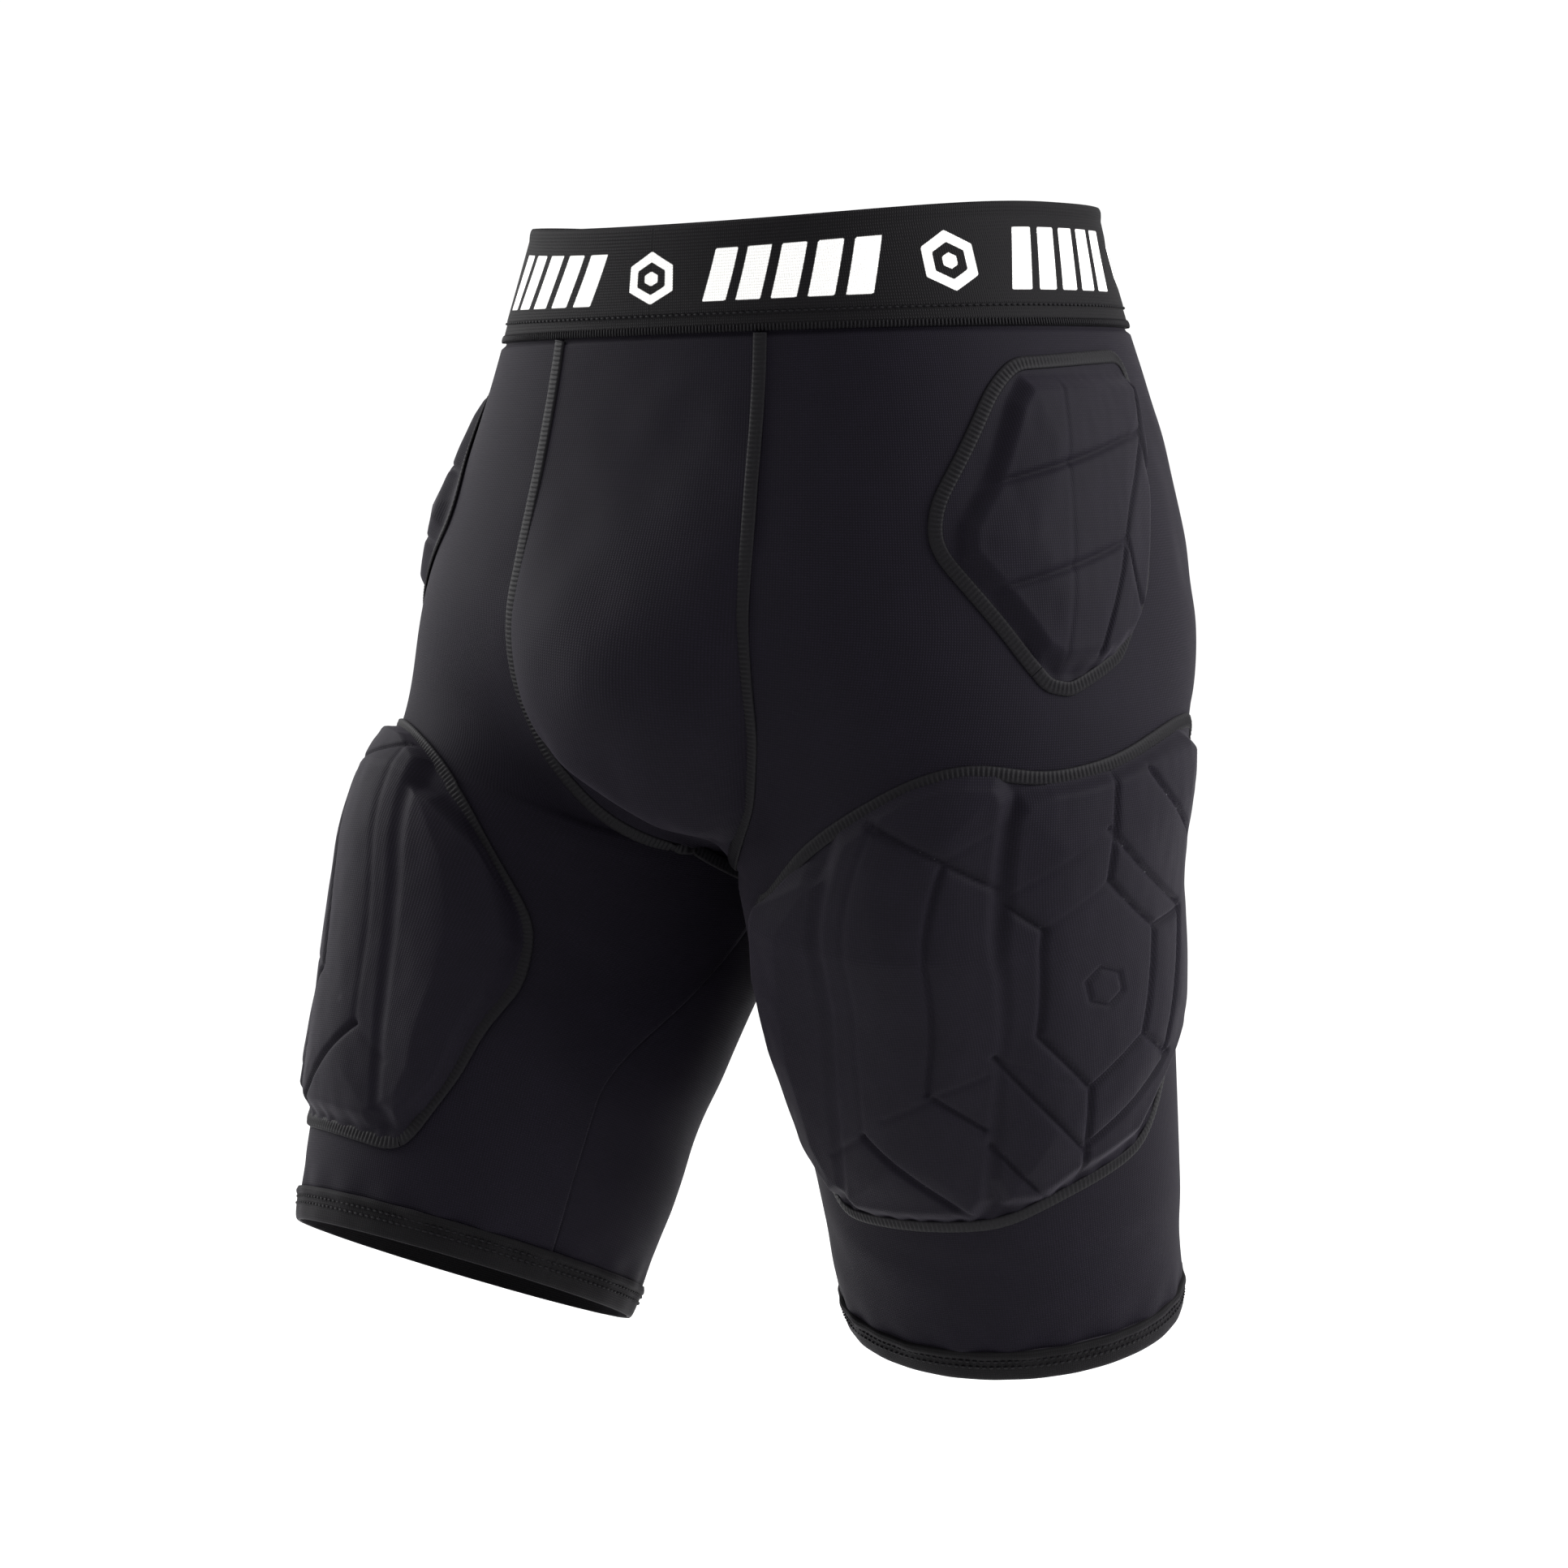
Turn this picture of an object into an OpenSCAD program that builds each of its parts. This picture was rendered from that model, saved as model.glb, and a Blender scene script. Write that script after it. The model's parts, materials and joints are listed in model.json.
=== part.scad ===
// Padded impact shorts: a close-fitting base short with sewn-on pad pockets.
// Origin at the centre of the waist opening, on the band's top edge.
// +Z is up, -Y is the wearer's front and +X the wearer's left. Millimetres.

/* [Waist and hips] */
// Half the width of the waist opening
waist_half_width = 124; // [110:1:140]
// Reach of the waist opening to the front
waist_front = 112; // [100:1:125]
// Reach of the waist opening to the back
waist_back = 120; // [105:1:130]
// Half the width at the hips
hip_half_width = 205; // [190:1:215]
// Reach of the hips to the front
hip_front = 130; // [120:1:140]
// Reach of the seat to the back
hip_back = 168; // [150:1:180]
// Height of the elastic waistband
band_height = 48; // [35:1:60]
// Rise of the band towards the wearer's left, in degrees
band_tilt = 5; // [0:0.5:6]
// Dip of the band's top edge at the centre front
band_dip = 7; // [0:0.5:10]

/* [Legs] */
// Length from the waist to the hem
outseam = 500; // [480:5:520]
// Depth of the crotch below the waist
crotch_depth = 282; // [270:1:295]
// Half the width of a thigh at the crotch
thigh_radius = 90; // [84:1:91]
// Half the width of a leg at the hem
hem_radius = 76; // [70:1:80]
// Distance of a thigh's centre from the middle
thigh_centre = 92; // [91:1:96]
// Distance of the left hem's centre from the middle
left_hem_centre = 104; // [100:1:114]
// Distance of the right hem's centre from the middle
right_hem_centre = 98; // [96:1:110]
// Depth of a thigh against its width
thigh_depth_ratio = 1.14; // [1.05:0.01:1.2]
// Backward sweep of the leg at the hem
hem_sweep = 12; // [0:1:16]
// Height of the folded hem
hem_height = 15; // [10:1:20]

/* [Stance] */
// Forward swing of the left leg as it stands, in degrees
left_swing = -10; // [-14:1:4]
// Outward turn of the left leg, in degrees
left_turn = 16; // [8:1:22]
// Forward swing of the right leg as it stands, in degrees
right_swing = 23; // [10:1:25]
// Outward turn of the right leg, in degrees
right_turn = 24; // [14:1:28]
// How far lower the pads sit on the swung leg
right_pad_drop = 36; // [30:1:40]

/* [Cloth and foam] */
// Thickness of the base cloth
cloth_t = 1.4; // [1:0.1:2]
// Thickness of the foam pads
foam_t = 7.5; // [5:0.5:9]
// Thickness of the pocket cloth over the pads
cover_t = 1.1; // [0.8:0.1:1.4]
// Clearance between plies
ply_gap = 1; // [0.8:0.1:1.2]

/* [Hip joint] */
// Depth of the hip axis below the waist
hip_axis_depth = 205; // [200:1:210]
// Slope of the body panels' lower edge, front
front_rise = 0.36; // [0.34:0.01:0.45]
// Slope of the body panels' lower edge, back
back_rise = 0.45; // [0.42:0.01:0.5]

/* [Hidden] */
LEFT = 1;
RIGHT = -1;
squareness = 2.3;
band_rise = 6;
bend_start = 175;
bend_end = 330;
hip_pivot = [95, 0, -hip_axis_depth];
step_s = 0.004;
step_z = 1;
seam_gap = 0.6;
foam_in = cloth_t + ply_gap;
foam_out = foam_in + foam_t;
cover_in = foam_out + ply_gap;
cover_out = cover_in + cover_t;
hip_rim = 0.05;
thigh_rim = 0.03;
rim_drop = 3;
edge_gap = 2.4;

// ---- small helpers ----
function mix(a, b, t) = a + (b - a) * t;
function clamp01(t) = min(max(t, 0), 1);
function ramp(a, b, x) = let(t = clamp01((x - a) / (b - a))) t * t * (3 - 2 * t);
function unit(v) = v / max(norm(v), 1e-9);
function turn_x(p, a) = [p[0], p[1] * cos(a) - p[2] * sin(a), p[1] * sin(a) + p[2] * cos(a)];
function turn_z(p, a) = [p[0] * cos(a) - p[1] * sin(a), p[0] * sin(a) + p[1] * cos(a), p[2]];
function edge_of(s) = min(s, 1 - s);

// ---- the body form: s runs from centre front round the side to centre back ----
function torso(s, z) =
    let(t = clamp01(-z / 290))
    let(width = mix(waist_half_width, hip_half_width, 1 - pow(1 - t, 1.3)))
    let(front = mix(waist_front, hip_front, ramp(-40, -210, z)))
    let(back = mix(waist_back, hip_back, ramp(0, -150, z)))
    let(c = sin(180 * s), q = -cos(180 * s))
    let(k = pow(pow(abs(c), squareness) + pow(abs(q), squareness), -1 / squareness))
    [width * c * k, (q < 0 ? front : back) * q * k];
function thigh(side, s, z) =
    let(u = clamp01((z + outseam) / 210))
    let(hem_centre = side > 0 ? left_hem_centre : right_hem_centre)
    let(r = mix(hem_radius, thigh_radius, pow(u, 0.8)))
    let(depth = mix(1.04, thigh_depth_ratio, u))
    [mix(hem_centre, thigh_centre, u) - r * cos(360 * s),
     -r * depth * sin(360 * s) + hem_sweep * (1 - u)];
// Share of the thigh in the form: the crotch curve near s = 0 and 1, a soft change elsewhere
function thigh_share(s, z) =
    let(t = clamp01((-170 - z) / (crotch_depth - 170)))
    let(curve = 1 - sqrt(1 - t * t))
    let(soft = ramp(-160, -crotch_depth - 10, z))
    mix(soft, curve, 1 - ramp(0, 0.22, edge_of(s)));
function standing(side, s, z) =
    let(w = thigh_share(s, z), a = torso(s, z), b = thigh(side, s, z))
    let(inner = 1 - ramp(0, 0.25, edge_of(s)))
    let(bend = mix(ramp(-bend_start, -bend_end, z), ramp(-275, -420, z), inner))
    let(p = [mix(a[0], b[0], w), mix(a[1], b[1], w), z] - hip_pivot)
    let(turned = turn_z(p, (side > 0 ? left_turn : right_turn) * bend))
    let(swung = turn_x(turned, -(side > 0 ? left_swing : right_swing) * bend) + hip_pivot)
    let(x = side * swung[0], fade = 1 - ramp(-60, -200, z))
    let(dip = swung[1] < 0 ? -band_dip * pow(swung[1] / 110, 2) * ramp(-50, 0, z) : 0)
    [x, swung[1], swung[2] + fade * (tan(band_tilt) * x + dip)];
// A point on the form, moved d outwards
function skin(side, s, z, d) =
    let(along = standing(side, s + step_s, z) - standing(side, s - step_s, z))
    let(up = standing(side, s, z + step_z) - standing(side, s, z - step_z))
    standing(side, s, z) + d * side * unit(cross(along, up));

// ---- a closed sheet over a patch of the form ----
// at(u, v) gives [side, s, z]; low(u, v) and high(u, v) give its two offsets
function grid_faces(nu, nv, wrap) =
    let(w = nu + 1, m = w * (nv + 1))
    concat(
        [for (j = [0:nv - 1], i = [0:nu - 1]) let(a = j * w + i)
            each [[a, a + w, a + w + 1], [a, a + w + 1, a + 1]]],
        [for (j = [0:nv - 1], i = [0:nu - 1]) let(a = m + j * w + i)
            each [[a, a + w + 1, a + w], [a, a + 1, a + w + 1]]],
        [for (i = [0:nu - 1]) let(a = i, b = nv * w + i)
            each [[a, a + 1, m + a], [a + 1, m + a + 1, m + a],
                  [b, m + b, b + 1], [b + 1, m + b, m + b + 1]]],
        wrap ? [] : [for (j = [0:nv - 1]) let(a = j * w, b = j * w + nu)
            each [[a, m + a, a + w], [a + w, m + a, m + a + w],
                  [b, b + w, m + b], [b + w, m + b + w, m + b]]]);
// rim is the share of the patch taken by its first and last cells, or 0 for even cells
function cell(i, n, rim) =
    rim == 0 ? i / n : i == 0 ? 0 : i == n ? 1 : mix(rim, 1 - rim, (i - 1) / (n - 2));
module sheet(at, low, high, nu, nv, wrap = false, rim = 0) {
    rows = [for (f = [high, low], j = [0:nv], i = [0:nu])
        let(u = (wrap && i == nu) ? 0 : cell(i, nu, rim), v = cell(j, nv, rim), q = at(u, v))
        skin(q[0], q[1], q[2], f(u, v))];
    polyhedron(rows, grid_faces(nu, nv, wrap), convexity = 6);
}
// The same patch on either side, from left(u, v) = [s, z]
function on(side, left) = function(u, v)
    let(q = left(side > 0 ? u : 1 - u, v)) [side, q[0], q[1]];
function flat_at(d) = function(u, v) d;
// A patch between four edges: front_s and back_s over v, low_z and high_z over u
function patch(front_s, back_s, low_z, high_z) = function(u, v)
    [mix(lookup(v, front_s), lookup(v, back_s), u),
     mix(lookup(u, low_z), lookup(u, high_z), v)];
// Pocket cloth: raised over the foam, with a thick sewn rim that reaches down to the base cloth
function rimmed(at_rim, inside, rim) = function(u, v)
    min(edge_of(u), edge_of(v)) < rim / 2 ? at_rim : inside;
module pocket_cloth(at, nu, nv, rim)
    sheet(at, rimmed(foam_in, cover_in, rim), rimmed(cover_out - rim_drop, cover_out, rim), nu, nv,
        rim = rim);

// ---- edges shared by neighbouring panels ----
pouch_side = [[-275, 0.085], [-245, 0.115], [-215, 0.12], [-165, 0.112], [-110, 0.115],
    [-band_height, 0.122]];
seat_side = [[-275, 0.925], [-200, 0.885], [-band_height, 0.88]];
function pouch_s(z) = lookup(z, pouch_side);
function seat_s(z) = lookup(z, seat_side);
function body_edge(s) =
    let(y = torso(s, -hip_axis_depth)[1])
    -hip_axis_depth + (y < 0 ? front_rise : back_rise) * max(abs(y) - 10, 0);
function leg_edge(s) =
    let(y = torso(s, -hip_axis_depth)[1])
    mix(-hip_axis_depth - 8 - 0.18 * abs(y), -crotch_depth - 18, 1 - ramp(0.05, 0.25, edge_of(s)));

// ---- body of the short ----
module waistband() color("#17161a") {
    at = function(u, v) let(w = 2 * u)
        [w < 1 ? LEFT : RIGHT, w < 1 ? w : 2 - w, mix(-band_height, band_rise, v)];
    sheet(at, flat_at(0), flat_at(cloth_t + 0.6), 64, 2, wrap = true);
}
module centre_panel(low_z, edge, middle, nu, nv) {
    at = function(u, v)
        let(z = mix(low_z, -band_height - seam_gap, v))
        let(across = 2 * u - 1, reach = middle ? edge(z) - 0.003 : 1 - edge(z) - 0.003)
        middle ? [across < 0 ? RIGHT : LEFT, abs(across) * reach, z]
               : [across < 0 ? LEFT : RIGHT, 1 - abs(across) * reach, z];
    sheet(at, flat_at(0), flat_at(cloth_t), nu, nv);
}
module pouch_panel() color("#1b1a20")
    centre_panel(-262, function(z) pouch_s(z), true, 12, 14);
module seat_panel() color("#1b1a20")
    centre_panel(-262, function(z) seat_s(z), false, 12, 14);
module side_panel(side) color("#1f1e25") {
    at = function(u, v)
        let(guess = mix(0.12, 0.885, u), high = -band_height - seam_gap)
        let(z = mix(body_edge(guess), high, v))
        [mix(pouch_s(z) + 0.003, seat_s(z) - 0.003, u), z];
    sheet(on(side, at), flat_at(0), flat_at(cloth_t), 22, 7);
}
module left_side_panel() side_panel(LEFT);
module right_side_panel() side_panel(RIGHT);
// A saddle between the legs that joins the pouch to the seat
module crotch_gusset() color("#131217") {
    half_x = 20;
    half_y = 66;
    nx = 6;
    ny = 10;
    spot = function(x, y, d)
        [x, y + 6, -crotch_depth - 5 - d + 22 * pow(y / half_y, 2) - 2 * pow(x / half_x, 2)];
    rows = [for (d = [cloth_t, 0], j = [0:ny], i = [0:nx])
        spot(mix(half_x, -half_x, i / nx), mix(-half_y, half_y, j / ny), d)];
    polyhedron(rows, grid_faces(nx, ny, false), convexity = 4);
}

// ---- hip pads ----
hip_cover_patch = patch(
    [[0, 0.365], [0.1, 0.345], [0.42, 0.267], [0.55, 0.272], [0.92, 0.345], [1, 0.36]],
    [[0, 0.48], [0.2, 0.535], [0.5, 0.565], [1, 0.59]],
    [[0, -186], [0.3, -189], [1, -174]],
    [[0, -64], [1, -60]]);
hip_foam_patch = patch(
    [[0, 0.375], [0.4, 0.295], [0.55, 0.3], [0.92, 0.362], [1, 0.374]],
    [[0, 0.46], [0.2, 0.512], [0.5, 0.543], [1, 0.57]],
    [[0, -177], [0.3, -180], [1, -165]],
    [[0, -73], [1, -70]]);
module hip_cover(side) color("#232228")
    pocket_cloth(on(side, hip_cover_patch), 12, 12, hip_rim);
module hip_foam(side) color("#3a3a40")
    sheet(on(side, hip_foam_patch), flat_at(foam_in), flat_at(foam_out), 6, 7);
module left_hip_cover() hip_cover(LEFT);
module right_hip_cover() hip_cover(RIGHT);
module left_hip_foam() hip_foam(LEFT);
module right_hip_foam() hip_foam(RIGHT);

// ---- tailbone pad, across the centre back ----
function tail_patch(half, low_z, high_z, taper) = function(u, v)
    let(across = 2 * u - 1, reach = half * mix(taper, 1, ramp(0, 0.7, v)))
    [across < 0 ? LEFT : RIGHT, 1 - abs(across) * reach, mix(low_z, high_z, v)];
module tailbone_cover() color("#232228")
    pocket_cloth(tail_patch(0.105, -168, -62, 0.35), 12, 10, hip_rim);
module tailbone_foam() color("#3a3a40")
    sheet(tail_patch(0.088, -158, -72, 0.35), flat_at(foam_in), flat_at(foam_out), 8, 7);

// ---- cloth of the legs ----
module flex_panel(side) color("#1f1e25") {
    at = function(u, v) let(s = mix(0.13, 0.875, u))
        [s, mix(leg_edge(s) + edge_gap, body_edge(s) - edge_gap, v)];
    sheet(on(side, at), flat_at(0), flat_at(cloth_t), 22, 4);
}
module left_flex_panel() flex_panel(LEFT);
module right_flex_panel() flex_panel(RIGHT);
module leg_tube(side, low, high, thick, nu, nv) {
    at = function(u, v) [u, mix(low, high(u), v)];
    sheet(on(side, at), flat_at(0), flat_at(thick), nu, nv, wrap = true);
}
module leg_panel(side) color("#1f1e25")
    leg_tube(side, -outseam + hem_height + seam_gap, function(s) leg_edge(s), cloth_t, 36, 13);
module left_leg_panel() leg_panel(LEFT);
module right_leg_panel() leg_panel(RIGHT);
module hem(side) color("#1a191f")
    leg_tube(side, -outseam, function(s) -outseam + hem_height, cloth_t + 0.8, 30, 1);
module left_hem() hem(LEFT);
module right_hem() hem(RIGHT);

// ---- thigh pads: one pocket over three foams ----
function lowered(side, left) = function(u, v)
    let(q = left(u, v)) [q[0], q[1] - (side > 0 ? 0 : right_pad_drop)];
thigh_cover_patch = patch(
    [[0, 0.15], [0.25, 0.11], [0.5, 0.1], [0.7, 0.118], [1, 0.19]],
    [[0, 0.5], [0.3, 0.55], [1, 0.615]],
    [[0, -426], [0.45, -421], [0.6, -410], [0.85, -398], [1, -360]],
    [[0, -258], [0.08, -240], [0.2, -222], [0.3, -216], [0.45, -221], [0.6, -217], [0.85, -205],
     [1, -206]]);
inner_foam_patch = patch(
    [[0, 0.16], [0.25, 0.133], [0.5, 0.123], [0.7, 0.14], [1, 0.196]],
    [[0, 0.163], [1, 0.206]],
    [[0, -409], [1, -409]],
    [[0, -276], [1, -264]]);
front_foam_patch = patch(
    [[0, 0.174], [1, 0.22]],
    [[0, 0.306], [0.6, 0.34], [1, 0.334]],
    [[0, -413], [1, -410]],
    [[0, -252], [0.3, -238], [1, -228]]);
outer_foam_patch = patch(
    [[0, 0.322], [0.6, 0.353], [1, 0.356]],
    [[0, 0.49], [0.3, 0.53], [1, 0.59]],
    [[0, -411], [0.3, -403], [0.8, -386], [1, -362]],
    [[0, -231], [0.4, -228], [0.8, -217], [1, -217]]);
module thigh_cover(side) color("#232228")
    pocket_cloth(on(side, lowered(side, thigh_cover_patch)), 24, 14, thigh_rim);
module thigh_foam(side, outline, nu) color("#3a3a40")
    sheet(on(side, lowered(side, outline)), flat_at(foam_in), flat_at(foam_out), nu, 8);
module left_thigh_cover() thigh_cover(LEFT);
module right_thigh_cover() thigh_cover(RIGHT);
module left_inner_foam() thigh_foam(LEFT, inner_foam_patch, 3);
module left_front_foam() thigh_foam(LEFT, front_foam_patch, 7);
module left_outer_foam() thigh_foam(LEFT, outer_foam_patch, 7);
module right_inner_foam() thigh_foam(RIGHT, inner_foam_patch, 3);
module right_front_foam() thigh_foam(RIGHT, front_foam_patch, 7);
module right_outer_foam() thigh_foam(RIGHT, outer_foam_patch, 7);

waistband();
pouch_panel();
left_side_panel();
right_side_panel();
seat_panel();
crotch_gusset();
left_hip_foam();
right_hip_foam();
left_hip_cover();
right_hip_cover();
tailbone_foam();
tailbone_cover();
left_flex_panel();
right_flex_panel();
left_leg_panel();
right_leg_panel();
left_hem();
right_hem();
left_thigh_cover();
right_thigh_cover();
left_inner_foam();
left_front_foam();
left_outer_foam();
right_inner_foam();
right_front_foam();
right_outer_foam();
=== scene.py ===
"""Padded impact shorts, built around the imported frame: cloth, sewn pads, seams, waistband and stage."""

import json
import math

import bpy
import numpy as np
from mathutils import Euler, Matrix, Vector

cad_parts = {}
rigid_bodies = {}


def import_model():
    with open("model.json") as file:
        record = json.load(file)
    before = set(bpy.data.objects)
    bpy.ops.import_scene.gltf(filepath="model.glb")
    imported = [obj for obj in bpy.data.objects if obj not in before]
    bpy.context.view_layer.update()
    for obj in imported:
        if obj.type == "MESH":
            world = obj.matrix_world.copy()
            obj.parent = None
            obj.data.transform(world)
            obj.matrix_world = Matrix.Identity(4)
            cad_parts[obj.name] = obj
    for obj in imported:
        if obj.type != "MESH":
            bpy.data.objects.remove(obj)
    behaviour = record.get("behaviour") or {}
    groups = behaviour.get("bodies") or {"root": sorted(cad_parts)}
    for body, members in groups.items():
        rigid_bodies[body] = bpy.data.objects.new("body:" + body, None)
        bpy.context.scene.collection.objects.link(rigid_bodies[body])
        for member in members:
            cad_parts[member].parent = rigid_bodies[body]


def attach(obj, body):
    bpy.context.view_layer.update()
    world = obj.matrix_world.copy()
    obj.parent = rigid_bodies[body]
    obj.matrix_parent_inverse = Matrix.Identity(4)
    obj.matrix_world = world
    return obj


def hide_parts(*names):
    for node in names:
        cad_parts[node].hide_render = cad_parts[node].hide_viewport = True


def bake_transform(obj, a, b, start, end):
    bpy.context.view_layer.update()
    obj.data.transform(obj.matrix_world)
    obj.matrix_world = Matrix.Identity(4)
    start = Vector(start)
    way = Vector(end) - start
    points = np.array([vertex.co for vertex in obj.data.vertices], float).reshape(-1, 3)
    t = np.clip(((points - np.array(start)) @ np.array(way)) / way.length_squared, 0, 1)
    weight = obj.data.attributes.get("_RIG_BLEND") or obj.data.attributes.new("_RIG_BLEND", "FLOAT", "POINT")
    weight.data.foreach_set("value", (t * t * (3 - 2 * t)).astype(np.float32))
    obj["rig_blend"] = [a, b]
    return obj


bl_info = {
    "name": "Padded impact shorts",
    "version": (1, 0, 0),
    "blender": (4, 5, 0),
    "location": "View3D > Sidebar > Shorts",
    "description": "Makes a pair of padded impact shorts piece by piece",
    "category": "Object",
}

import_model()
LEFT, RIGHT = 1, -1
SIDE_NAME = {LEFT: "left", RIGHT: "right"}
MM = 0.001
PELVIS = "pelvis"

# ---- the body form, in millimetres: the same one as the part's source ----
WAIST_HALF_WIDTH, WAIST_FRONT, WAIST_BACK = 124, 112, 120
HIP_HALF_WIDTH, HIP_FRONT, HIP_BACK = 205, 130, 168
BAND_HEIGHT, BAND_RISE, BAND_TILT, BAND_DIP = 48, 6, 5, 7
OUTSEAM, CROTCH_DEPTH = 500, 282
THIGH_RADIUS, HEM_RADIUS = 90, 76
THIGH_CENTRE = 92
THIGH_DEPTH_RATIO, HEM_DEPTH_RATIO = 1.14, 1.04
HEM_SWEEP, HEM_HEIGHT = 12, 15
SQUARENESS = 2.3
HIP_PIVOT = np.array([95.0, 0.0, -205.0])
HEM_CENTRE = {LEFT: 104, RIGHT: 98}
SWING = {LEFT: -10, RIGHT: 23}
TURN = {LEFT: 16, RIGHT: 24}
PAD_DROP = {LEFT: 0, RIGHT: 36}
FRONT_RISE, BACK_RISE = 0.36, 0.45
CLOTH = 1.4
STEP_S, STEP_Z = 0.004, 1.0  # steps for the form's slopes
# Distance round a thigh and from centre front to centre back of the hips, for flat patterns
THIGH_ROUND, HIP_ROUND = 560, 500


def mix(a, b, t):
    """From a to b as t goes from 0 to 1."""
    return a + (b - a) * t


def clamp01(t):
    return np.clip(t, 0.0, 1.0)


def ramp(a, b, x):
    """A soft step from 0 at a to 1 at b."""
    t = clamp01((x - a) / (b - a))
    return t * t * (3 - 2 * t)


def lookup(x, table):
    """The value at x on the straight lines through the table's points."""
    spots, values = zip(*table)
    return np.interp(x, spots, values)


def edge_of(s):
    """Distance to the nearer end of the range from 0 to 1."""
    return np.minimum(s, 1 - s)


def torso(s, z):
    """The waist and hips in plan: a rounded square, wider downwards and deeper behind."""
    t = clamp01(-z / 290)
    width = mix(WAIST_HALF_WIDTH, HIP_HALF_WIDTH, 1 - (1 - t) ** 1.3)
    front = mix(WAIST_FRONT, HIP_FRONT, ramp(-40, -210, z))
    back = mix(WAIST_BACK, HIP_BACK, ramp(0, -150, z))
    across, along = np.sin(np.pi * s), -np.cos(np.pi * s)
    size = np.abs(across) ** SQUARENESS + np.abs(along) ** SQUARENESS
    k = size ** (-1 / SQUARENESS)
    return width * across * k, np.where(along < 0, front, back) * along * k


def thigh(side, s, z):
    """An upright thigh in plan, from the inner side round the outside."""
    u = clamp01((z + OUTSEAM) / 210)
    r = mix(HEM_RADIUS, THIGH_RADIUS, u**0.8)
    depth = mix(HEM_DEPTH_RATIO, THIGH_DEPTH_RATIO, u)
    hem_centre = np.where(side > 0, HEM_CENTRE[LEFT], HEM_CENTRE[RIGHT])
    x = mix(hem_centre, THIGH_CENTRE, u) - r * np.cos(2 * np.pi * s)
    return x, -r * depth * np.sin(2 * np.pi * s) + HEM_SWEEP * (1 - u)


def thigh_share(s, z):
    """Share of the thigh in the form: a crotch curve at the middle, a soft change elsewhere."""
    t = clamp01((-170 - z) / (CROTCH_DEPTH - 170))
    curve = 1 - np.sqrt(1 - t * t)
    soft = ramp(-160, -CROTCH_DEPTH - 10, z)
    return mix(soft, curve, 1 - ramp(0, 0.22, edge_of(s)))


def turned(a, b, degrees):
    """The pair (a, b) turned about the origin."""
    angle = np.radians(degrees)
    return a * np.cos(angle) - b * np.sin(angle), a * np.sin(angle) + b * np.cos(angle)


def standing(side, s, z):
    """Points of the form, in millimetres: s runs from centre front round the side to centre back."""
    side, s, z = np.broadcast_arrays(np.asarray(side, float), s, np.asarray(z, float))
    left = side > 0
    w = thigh_share(s, z)
    (ax, ay), (bx, by) = torso(s, z), thigh(side, s, z)
    inner = 1 - ramp(0, 0.25, edge_of(s))
    bend = mix(ramp(-175, -330, z), ramp(-275, -420, z), inner)
    x = mix(ax, bx, w) - HIP_PIVOT[0]
    y = mix(ay, by, w) - HIP_PIVOT[1]
    x, y = turned(x, y, np.where(left, TURN[LEFT], TURN[RIGHT]) * bend)
    swing = -np.where(left, SWING[LEFT], SWING[RIGHT]) * bend
    y, up = turned(y, z - HIP_PIVOT[2], swing)
    x = side * (x + HIP_PIVOT[0])
    y = y + HIP_PIVOT[1]
    up = up + HIP_PIVOT[2]
    fade = 1 - ramp(-60, -200, z)
    dip = np.where(y < 0, -BAND_DIP * (y / 110) ** 2 * ramp(-50, 0, z), 0)
    up = up + fade * (math.tan(math.radians(BAND_TILT)) * x + dip)
    return np.stack([x, y, up], -1)


def outward(side, s, z):
    """The form's outward direction at each point."""
    along = standing(side, s + STEP_S, z) - standing(side, s - STEP_S, z)
    up = standing(side, s, z + STEP_Z) - standing(side, s, z - STEP_Z)
    n = np.cross(along, up) * np.asarray(side, float)[..., None]
    return n / np.maximum(np.linalg.norm(n, axis=-1, keepdims=True), 1e-9)


def skin(side, s, z, d):
    """Points d millimetres outside the form, in metres."""
    side, s, z, d = np.broadcast_arrays(np.asarray(side, float), s, z, d)
    return (standing(side, s, z) + d[..., None] * outward(side, s, z)) * MM


# ---- shared panel edges ----
POUCH_EDGE = [(-300, 0.0), (-290, 0.045), (-275, 0.085), (-245, 0.115), (-215, 0.12), (-165, 0.112),
              (-110, 0.115), (-48, 0.122)]
SEAT_EDGE = [(-300, 1.0), (-290, 0.96), (-275, 0.925), (-200, 0.885), (-48, 0.88)]


def body_edge(s):
    """Height of the lower edge of the cloth that stays with the hips."""
    y = torso(s, np.full_like(s, HIP_PIVOT[2]))[1]
    rise = np.where(y < 0, FRONT_RISE, BACK_RISE)
    return HIP_PIVOT[2] + rise * np.maximum(np.abs(y) - 10, 0)


def leg_share(s, z):
    """How far the cloth follows the leg: not at the waist and crotch, wholly under the thigh pads."""
    y = torso(s, np.full_like(s, HIP_PIVOT[2]))[1]
    inner = 1 - ramp(0.12, 0.26, edge_of(s))
    top = mix(body_edge(s) - 2, -300, inner)
    low = mix(HIP_PIVOT[2] - 8 - 0.18 * np.abs(y), -390, inner)
    return ramp(top, low, z)


# ---- meshes ----
def clear_selection():
    """Takes every object out of the selection."""
    for one in bpy.context.scene.objects:
        one.select_set(False)


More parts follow.
